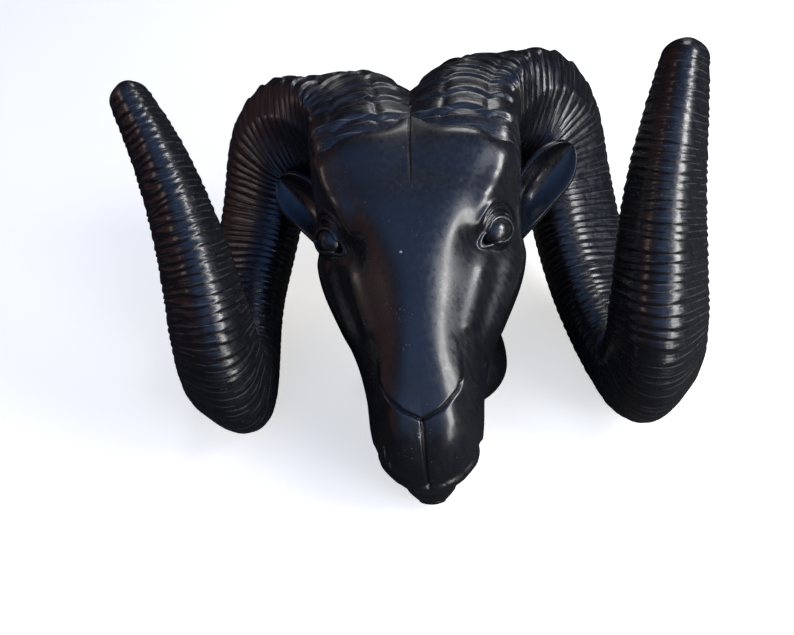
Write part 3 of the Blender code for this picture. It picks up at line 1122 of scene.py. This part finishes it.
def dust_group() -> bpy.types.NodeTree:
    """Dust film and specks: cloudy noise, thicker on faces that look up, and small pale dots.

    Returns:
        The group, with inputs Film Scale and Speck Scale and outputs Film and Specks.
    """
    inputs = {"Film Scale": 14.0, "Speck Scale": 420.0}
    tree, given, result = new_group("dust", inputs, ("Film", "Specks"))
    place = object_place(tree)
    cloud = noise(tree, place, given["Film Scale"], 6.0)
    facing = node(tree, "SeparateXYZ", Vector=node(tree, "NewGeometry").outputs["Normal"])
    upward = ramp(tree, facing.outputs["Z"], -0.2, 1.0)
    feed(tree, result["Film"], times(tree, ramp(tree, cloud, 0.35, 0.75), upward))
    dots = node(tree, "TexVoronoi", Vector=place, Scale=given["Speck Scale"]).outputs["Distance"]
    gate = ramp(tree, noise(tree, place, 55.0, 2.0), 0.60, 0.66)
    feed(tree, result["Specks"], times(tree, ramp(tree, dots, 0.16, 0.08), gate))
    return tree


def scratch_group() -> bpy.types.NodeTree:
    """Fine rubbed scratches: noise stretched along the face, and a coarser hand-finished unevenness.

    Returns:
        The group, with inputs Scratch Scale and Pore Scale and outputs Scratches and Swell.
    """
    inputs = {"Scratch Scale": 260.0, "Pore Scale": 38.0}
    tree, given, result = new_group("scratches", inputs, ("Scratches", "Swell"))
    place = object_place(tree)
    lean = (math.radians(44.0), 0.0, 0.0)
    stretched = node(tree, "Mapping", Vector=place, Rotation=lean, Scale=(1.0, 1.0, 0.08))
    fine = noise(tree, stretched.outputs["Vector"], given["Scratch Scale"], 3.0)
    feed(tree, result["Scratches"], ramp(tree, fine, 0.35, 0.70))
    feed(tree, result["Swell"], noise(tree, place, given["Pore Scale"], 4.0))
    return tree


def wrinkle_group() -> bpy.types.NodeTree:
    """Fine wrinkles across a horn: sawtooth bands along it, bent by noise, and a finer broken set, with a mask
    of painted highlight lines on the bands' crests.

    Returns:
        The group, with inputs Band Scale and Break Scale and outputs Wrinkles and Crest Highlights, the mask of
        painted highlight lines.
    """
    inputs = {"Band Scale": 62.0, "Break Scale": 330.0}
    tree, given, result = new_group("wrinkles", inputs, ("Wrinkles", "Crests"))
    marks = node(tree, "Attribute")
    marks.attribute_name = MARKS
    place = marks.outputs["Vector"]
    bands = node(tree, "TexWave", Vector=place, Scale=given["Band Scale"], Distortion=3.0, Detail=3.0,
                 Detail_Scale=1.6)
    bands.bands_direction = "Z"
    bands.wave_profile = "SAW"
    band = bands.outputs["Fac"]
    broken = noise(tree, place, given["Break Scale"], 2.0)
    fine = ramp(tree, broken, 0.40, 0.62)
    feed(tree, result["Wrinkles"], plus(tree, times(tree, band, 0.65), times(tree, fine, 0.35)))
    # Painted highlight: thin pale lines along the bands' crests, where light would catch them.
    feed(tree, result["Crests"], times(tree, ramp(tree, band, 0.84, 0.97), ramp(tree, broken, 0.46, 0.56)))
    return tree


def spot_group() -> bpy.types.NodeTree:
    """A worn spot: 1 within a distance of a place, broken up by noise.

    Returns:
        The group, with an input for each of SPOT_INPUTS and output Spot.
    """
    tree, given, result = new_group("worn_spot", SPOT_INPUTS, ("Spot",))
    place = object_place(tree)
    split = node(tree, "SeparateXYZ", Vector=place)
    total = 0.0
    for axis, size in (("X", "Width"), ("Y", "Height"), ("Z", "Height")):
        away = reckon(tree, Maths.SUBTRACT, split.outputs[axis], given[axis])
        away = reckon(tree, Maths.ABSOLUTE, reckon(tree, Maths.DIVIDE, away, given[size]))
        total = plus(tree, total, reckon(tree, Maths.POWER, away, 2.0))
    total = plus(tree, total, times(tree, noise(tree, place, given["Grain"], 3.0), given["Break Up"]))
    feed(tree, result["Spot"], ramp(tree, total, 1.45, 1.0))
    return tree


@dataclass(frozen=True)
class WornSpot:
    """Where the lacquer is chipped or rubbed through: its place, half sizes, grain and how broken it is."""

    place: Triple
    width: float
    height: float
    grain: float = 500.0
    break_up: float = 1.6


@dataclass(frozen=True)
class Lacquer:
    """Black lacquer over the cast, with its dust, rubbing and worn crests, and painted highlight lines on the
    horn wrinkles' crests.
    """

    name: str
    groups: dict[str, bpy.types.NodeTree]
    colour: Triple = (0.0085, 0.0090, 0.0120)
    worn: Triple = (0.085, 0.085, 0.092)
    # Pale grey of the dust film, and of the painted highlight lines on the horn wrinkles' crests.
    dust_and_highlight: Triple = (0.22, 0.22, 0.23)
    speck: Triple = (0.45, 0.45, 0.45)
    bare: Triple = (0.40, 0.41, 0.42)
    ior: float = 1.55
    roughness: float = 0.21
    coat: float = 0.55
    coat_roughness: float = 0.16
    wear: float = 0.5
    film: float = 0.035
    specks: float = 0.6
    relief: float = 0.10
    relief_height: float = 0.002
    scratches: float = 0.10
    wrinkles: float = 0.0
    # How much the painted highlight lines on the horn wrinkles' crests show.
    crests: float = 0.32
    spots: tuple[WornSpot, ...] = ()

    def build(self) -> bpy.types.Material:
        """Makes the material: one Principled BSDF fed by the wear, dust and scratch groups.

        Returns:
            The material.
        """
        material = bpy.data.materials.new(self.name)
        material.use_nodes = True
        tree = material.node_tree
        surface = tree.nodes["Principled BSDF"].inputs
        surface["Metallic"].default_value = 0.0
        surface["Coat Weight"].default_value = self.coat
        surface["Coat Roughness"].default_value = self.coat_roughness
        surface["IOR"].default_value = self.ior

        def group(label: str) -> bpy.types.Node:
            """A node of one of the groups.

            Args:
                label: The group's name in groups.

            Returns:
                The node.
            """
            made = node(tree, "Group")
            made.node_tree = self.groups[label]
            return made

        dust, scratch = group("dust").outputs, group("scratch").outputs
        wrinkle = group("wrinkle").outputs if self.wrinkles else None
        rubbed = times(tree, group("wear").outputs["Wear"], self.wear)
        layers = [(rubbed, self.worn), (times(tree, dust["Film"], self.film), self.dust_and_highlight)]
        if wrinkle:
            # Painted highlight: pale lines on the horn wrinkles' crests.
            layers.append((times(tree, wrinkle["Crests"], self.crests), self.dust_and_highlight))
        layers.append((times(tree, dust["Specks"], self.specks), self.speck))
        for spot in self.spots:
            worn = group("spot")
            values = (*spot.place, spot.width, spot.height, spot.grain, spot.break_up)
            for label, value in zip(SPOT_INPUTS, values):
                worn.inputs[label].default_value = value
            layers.append((worn.outputs["Spot"], self.bare))
        colour = (*self.colour, 1.0)
        for share, layer in layers:
            colour = mix(tree, share, colour, (*layer, 1.0))
        tree.links.new(colour, surface["Base Color"])
        rough = self.roughness
        for mask, more in ((scratch["Scratches"], 0.20), (dust["Film"], 0.16), (rubbed, 0.25)):
            rough = plus(tree, rough, times(tree, mask, more))
        tree.links.new(rough, surface["Roughness"])
        height = plus(tree, scratch["Swell"], times(tree, scratch["Scratches"], self.scratches))
        if wrinkle:
            height = plus(tree, height, times(tree, wrinkle["Wrinkles"], self.wrinkles))
        bump = node(tree, "Bump", Height=height, Strength=self.relief, Distance=self.relief_height)
        tree.links.new(bump.outputs["Normal"], surface["Normal"])
        return material


@dataclass(frozen=True)
class Lamp:
    """A square soft lamp: its name, place, side length, watts and colour."""

    name: str
    place: Triple
    size: float
    power: float
    colour: Triple
    target: Triple = (0.0, 0.0, 0.15)

    def hang(self) -> None:
        """Adds the lamp, turned to the middle of the sculpture."""
        data = bpy.data.lights.new(self.name, "AREA")
        data.shape = "SQUARE"
        data.size = self.size
        data.energy = self.power
        data.color = self.colour
        holder = bpy.data.objects.new(self.name, data)
        holder.location = self.place
        holder.rotation_mode = "QUATERNION"
        holder.rotation_quaternion = (Vector(self.target) - Vector(self.place)).to_track_quat("-Z", "Y")
        bpy.context.scene.collection.objects.link(holder)


@dataclass
class Studio:
    """The pale floor, the soft light and the camera at the photograph's angle."""

    lamps: tuple[Lamp, ...]
    yaw: float = math.radians(6.0)
    roll: float = math.radians(3.1)
    focal: float = 900.0
    distance: float = 0.70
    aim: float = -0.016
    width: int = 794
    sensor: float = 36.0
    floor_half: float = 6.0
    floor_drop: float = 0.0004
    floor_seen: Triple = (0.93, 0.93, 0.93)
    floor_glow: Triple = (0.62, 0.61, 0.58)
    floor_unseen: Triple = (0.055, 0.052, 0.050)
    sky_dark: Triple = (0.008, 0.008, 0.010)
    sky_warm: Triple = (0.20, 0.095, 0.080)
    sky_low: Triple = (0.24, 0.44, 0.92)
    sky_high: Triple = (0.11, 0.23, 0.56)

    @staticmethod
    def direction(way: Triple) -> Vector:
        """A face-frame direction turned into a world one."""
        return Vector(STANCE.world(np.array(way)) - STANCE.world(np.zeros(3))).normalized()

    def camera(self) -> None:
        """Places the camera in the face frame: a little to the right, looking straight at the face."""
        place = np.array((self.distance * math.tan(self.yaw) + self.aim, 0.0, self.distance))
        ahead = self.direction((-math.sin(self.yaw), 0.0, -math.cos(self.yaw)))
        right = self.direction((math.cos(self.yaw), 0.0, -math.sin(self.yaw)))
        up = self.direction((0.0, 1.0, 0.0))
        c, s = math.cos(self.roll), math.sin(self.roll)
        across, above = right * c - up * s, right * s + up * c
        lens = bpy.data.cameras.new("camera")
        lens.sensor_fit = "HORIZONTAL"
        lens.sensor_width = self.sensor
        lens.lens = self.focal / self.width * self.sensor
        lens.clip_start = 0.01
        holder = bpy.data.objects.new("camera", lens)
        turn = Matrix((across, above, -ahead)).transposed().to_4x4()
        holder.matrix_world = Matrix.Translation(Vector(STANCE.world(place))) @ turn
        bpy.context.scene.collection.objects.link(holder)
        bpy.context.scene.camera = holder

    def floor(self) -> None:
        """Lays a large pale floor just under the base, white to the camera where no shadow falls."""
        half, low = self.floor_half, -self.floor_drop
        mesh = bpy.data.meshes.new("floor")
        corners = [(-half, -half, low), (half, -half, low), (half, half, low), (-half, half, low)]
        mesh.from_pydata(corners, [], [(0, 1, 2, 3)])
        floor = bpy.data.objects.new("floor", mesh)
        bpy.context.scene.collection.objects.link(floor)
        material = bpy.data.materials.new("floor_paint")
        material.use_nodes = True
        tree = material.node_tree
        surface = tree.nodes["Principled BSDF"].inputs
        surface["Roughness"].default_value = 0.9
        surface["Specular IOR Level"].default_value = 0.0
        surface["Emission Strength"].default_value = 1.0
        seen = node(tree, "LightPath").outputs["Is Camera Ray"]
        glow = mix(tree, seen, (0.0, 0.0, 0.0, 1.0), (*self.floor_glow, 1.0))
        tree.links.new(glow, surface["Emission Color"])
        paint = mix(tree, seen, (*self.floor_unseen, 1.0), (*self.floor_seen, 1.0))
        tree.links.new(paint, surface["Base Color"])
        floor.data.materials.append(material)

    def world(self) -> None:
        """Sets the sky: white to the camera; in reflections dark, warm at the left and blue in front."""
        world = bpy.data.worlds.new("studio")
        bpy.context.scene.world = world
        world.use_nodes = True
        tree = world.node_tree
        back = tree.nodes["Background"].inputs
        way = node(tree, "SeparateXYZ", Vector=node(tree, "TexCoord").outputs["Generated"]).outputs
        left = ramp(tree, way["X"], -0.5, -0.97)
        shade = mix(tree, left, (*self.sky_dark, 1.0), (*self.sky_warm, 1.0))
        sky = times(tree, ramp(tree, way["Z"], 0.16, 0.62), ramp(tree, way["Y"], 0.45, -0.35))
        sky = times(tree, sky, ramp(tree, way["X"], -0.80, -0.25))
        blue = mix(tree, ramp(tree, way["Z"], 0.45, 0.92), (*self.sky_low, 1.0), (*self.sky_high, 1.0))
        seen = node(tree, "LightPath").outputs["Is Camera Ray"]
        shown = mix(tree, seen, mix(tree, sky, shade, blue), (1.0, 1.0, 1.0, 1.0))
        tree.links.new(shown, back["Color"])
        back["Strength"].default_value = 1.0

    def build(self) -> None:
        """Sets up the whole studio."""
        self.camera()
        self.floor()
        self.world()
        for lamp in self.lamps:
            lamp.hang()
        bpy.context.scene.view_settings.view_transform = "Standard"


# Each row is a place on a horn's centre line, across, up and out as shares of its spread, rise and
# sweep, and the radius there.
RIGHT_STATIONS = (
    (0.167, 0.589, -0.233, 0.0370),
    (0.190, 0.779, -0.335, 0.0425),
    (0.217, 0.921, -0.500, 0.0445),
    (0.362, 1.000, -0.693, 0.0460),
    (0.511, 0.947, -0.864, 0.0460),
    (0.584, 0.732, -0.977, 0.0420),
    (0.629, 0.442, -1.000, 0.0400),
    (0.688, 0.095, -0.909, 0.0380),
    (0.774, -0.189, -0.739, 0.0375),
    (0.833, -0.305, -0.477, 0.0380),
    (0.851, -0.168, -0.205, 0.0375),
    (0.864, 0.158, -0.074, 0.0340),
    (0.891, 0.489, -0.017, 0.0285),
    (0.932, 0.763, 0.023, 0.0225),
    (0.964, 0.958, 0.045, 0.0172),
)
LEFT_STATIONS = (
    (0.163, 0.585, -0.228, 0.0373),
    (0.187, 0.774, -0.331, 0.0424),
    (0.231, 0.911, -0.500, 0.0435),
    (0.416, 0.963, -0.705, 0.0455),
    (0.602, 0.895, -0.875, 0.0455),
    (0.697, 0.684, -0.977, 0.0400),
    (0.751, 0.453, -1.000, 0.0380),
    (0.801, 0.158, -0.909, 0.0368),
    (0.801, -0.137, -0.739, 0.0360),
    (0.783, -0.295, -0.477, 0.0365),
    (0.778, -0.137, -0.205, 0.0345),
    (0.801, 0.195, -0.074, 0.0298),
    (0.851, 0.500, -0.017, 0.0248),
    (0.928, 0.789, 0.023, 0.0200),
    (1.000, 0.979, 0.045, 0.0158),
)
# Each row is the height t, the bridge's w, then x and w of the bridge's edge, of the widest place
# and of the jaw, and the throat's w.
HEAD_SECTIONS = (
    (-0.1548, -0.048, 0.006, -0.049, 0.0112, -0.054, 0.008, -0.061, -0.063),
    (-0.150, -0.040, 0.008, -0.041, 0.0155, -0.050, 0.010, -0.065, -0.068),
    (-0.141, -0.027, 0.012, -0.029, 0.023, -0.046, 0.014, -0.067, -0.072),
    (-0.128, -0.012, 0.018, -0.016, 0.035, -0.042, 0.021, -0.067, -0.074),
    (-0.110, 0.000, 0.022, -0.005, 0.0435, -0.038, 0.027, -0.067, -0.077),
    (-0.088, 0.007, 0.025, 0.001, 0.0470, -0.035, 0.031, -0.070, -0.081),
    (-0.062, 0.012, 0.025, 0.006, 0.0495, -0.036, 0.034, -0.077, -0.088),
    (-0.036, 0.015, 0.022, 0.010, 0.0560, -0.040, 0.038, -0.086, -0.096),
    (-0.012, 0.016, 0.020, 0.011, 0.0665, -0.046, 0.046, -0.096, -0.106),
    (0.012, 0.015, 0.0205, 0.010, 0.0775, -0.052, 0.056, -0.106, -0.116),
    (0.040, 0.013, 0.025, 0.007, 0.0860, -0.058, 0.064, -0.114, -0.124),
    (0.068, 0.010, 0.037, 0.003, 0.0860, -0.062, 0.068, -0.120, -0.130),
    (0.095, 0.005, 0.050, -0.003, 0.0865, -0.062, 0.068, -0.122, -0.132),
    (0.120, -0.005, 0.057, -0.012, 0.0860, -0.064, 0.066, -0.122, -0.130),
    (0.145, -0.020, 0.057, -0.026, 0.0780, -0.074, 0.056, -0.116, -0.126),
    (0.168, -0.052, 0.040, -0.060, 0.0480, -0.084, 0.036, -0.106, -0.112),
)
# Each row is the middle's y, the height, the half width, and the reach to the throat and to the nape.
NECK_SECTIONS = (
    (0.072, 0.000, 0.0615, 0.044, 0.078),
    (0.072, 0.003, 0.0640, 0.0465, 0.0805),
    (0.078, 0.048, 0.0635, 0.047, 0.076),
    (0.090, 0.090, 0.0615, 0.048, 0.066),
    (0.100, 0.122, 0.0500, 0.040, 0.050),
)
MODELLING = (
    Hill(0.0026, (0.0650, 0.0940), (0.018, 0.015)),  # brow over the eye
    Ridge(0.0034, 0.0070, ((0.052, 0.070), (0.057, 0.090), (0.068, 0.112), (0.073, 0.132))),  # forehead's edge
    Hill(-0.0050, (0.0540, 0.0560), (0.014, 0.016)),  # hollow beside the eye
    Ridge(0.0016, 0.0060, ((0.056, 0.044), (0.048, 0.018), (0.040, -0.008))),  # crest below the eye
    Ridge(0.0024, 0.0085, ((0.082, 0.048), (0.073, 0.020), (0.059, -0.010))),  # cheek crest
    Ridge(-0.0014, 0.0060, ((0.066, 0.036), (0.058, 0.012), (0.049, -0.014))),  # furrow between the two
    Hill(0.0034, (0.0210, -0.0920), (0.014, 0.020)),  # nostril's wing
    Hill(-0.0020, (0.0360, -0.0700), (0.010, 0.012)),  # hollow over the nostril
    Ridge(-0.0018, 0.0011, ((0.0004, -0.080), (0.0003, -0.138))),  # philtrum
    Ridge(-0.0034, 0.0017, (  # mouth
        (0.0450, -0.106), (0.0385, -0.1180), (0.0270, -0.1300), (0.0130, -0.1360), (0.0, -0.1375))),
    # The lower lip.
    Ridge(0.0012, 0.0026, ((0.0440, -0.110), (0.0375, -0.1215), (0.0262, -0.1340), (0.0, -0.1415))),
    Ridge(-0.0012, 0.0012, ((0.026, -0.1400), (0.013, -0.1465), (0.0, -0.1485))),  # crease of the chin
)
BROW_CUT = Ridge(-0.0014, 0.0008, ((0.0, 0.102), (0.0, 0.160)))
NOSE = Ridge(-0.0028, 0.0016, ((0.0350, -0.046), (0.0285, -0.0590), (0.0150, -0.0715), (0.0, -0.0800)))
EYES = (Eye(Side.RIGHT, (0.0635, 0.0655, -0.0305)), Eye(Side.LEFT, (0.0695, 0.0665, -0.0365)))
EARS = {
    Side.RIGHT: Ear(Side.RIGHT, (0.136, 0.144, -0.106)),
    Side.LEFT: Ear(Side.LEFT, (0.129, 0.133, -0.110)),
}
WORN_SPOTS = (
    WornSpot((-0.0062, -0.0700, 0.2042), 0.0017, 0.0015),
    WornSpot((0.0002, -0.1672, 0.1030), 0.0032, 0.0100, 1100.0, 2.7),
    WornSpot((-0.0300, -0.1660, 0.0790), 0.0008, 0.0075, 300.0),
    WornSpot((-0.0268, -0.1715, 0.0680), 0.0008, 0.0050, 300.0),
    WornSpot((0.0230, -0.1740, 0.0790), 0.0030, 0.0015, 300.0),
)
LAMPS = (
    Lamp("key_right", (1.15, -0.35, 1.05), 0.50, 11.5, (1.0, 0.98, 0.95)),
    Lamp("front_right", (1.10, -0.92, 0.66), 0.60, 10.0, (1.0, 0.98, 0.96)),
    Lamp("low_front", (0.78, -1.22, 0.22), 0.55, 4.0, (1.0, 0.96, 0.92)),
    Lamp("top_back", (0.25, 0.95, 1.25), 0.50, 4.0, (1.0, 1.0, 1.0)),
    Lamp("left_soft", (-1.25, -0.15, 0.80), 0.35, 0.7, (1.0, 0.85, 0.75)),
)


@dataclass
class Sculpture:
    """The whole cast: head, neck, horns, ears and eyes."""

    finish: Lacquer
    horn_finish: Lacquer

    def add(self, piece: bpy.types.Object, material: bpy.types.Material) -> None:
        """Dresses a piece and ties it to the CAD model.

        Args:
            piece: The new object.
            material: Its finish.
        """
        piece.data.materials.append(material)
        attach(piece, "root")
        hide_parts("ram_head")
        log.info("%s: %d faces", piece.name, len(piece.data.polygons))

    def build(self) -> None:
        """Builds and dresses every piece."""
        material = self.finish.build()
        horn_material = self.horn_finish.build()
        horns = {
            Side.RIGHT: Horn(Side.RIGHT, RIGHT_STATIONS, seed=3),
            Side.LEFT: Horn(Side.LEFT, LEFT_STATIONS, seed=41),
        }
        head, neck = Head(HEAD_SECTIONS, MODELLING, BROW_CUT, NOSE, EYES), Neck(NECK_SECTIONS)
        reach = (horns[Side.RIGHT].distance, horns[Side.LEFT].distance)
        self.add(make_mesh("head", head.surface(reach, neck.distance)), material)
        self.add(make_mesh("neck", neck.surface(head.distance), None), material)
        for side, other in ((Side.RIGHT, Side.LEFT), (Side.LEFT, Side.RIGHT)):
            grid = horns[side].surface((head.distance, horns[other].distance))
            self.add(make_mesh(f"horn_{side.word}", grid, marks=horns[side].marks()), horn_material)
            self.add(make_mesh(f"ear_{side.word}", EARS[side].surface()), material)
        for eye in EYES:
            self.add(make_mesh(f"eyeball_{eye.side.word}", eye.ball()), material)


def main() -> None:
    """Builds the sculpture and the studio."""
    logging.basicConfig(level=logging.INFO, format="%(name)s %(message)s")
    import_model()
    groups = {"wear": edge_wear_group(), "dust": dust_group(), "scratch": scratch_group(),
              "wrinkle": wrinkle_group(), "spot": spot_group()}
    face = Lacquer("black_lacquer", groups, spots=WORN_SPOTS)
    # The horns' lacquer has the wrinkles, with painted highlight lines on their crests.
    horn = Lacquer("black_lacquer_on_horns", groups, wrinkles=1.0, relief=0.42, wear=0.6)
    Sculpture(face, horn).build()
    Studio(LAMPS).build()


if __name__ == "__main__":
    main()
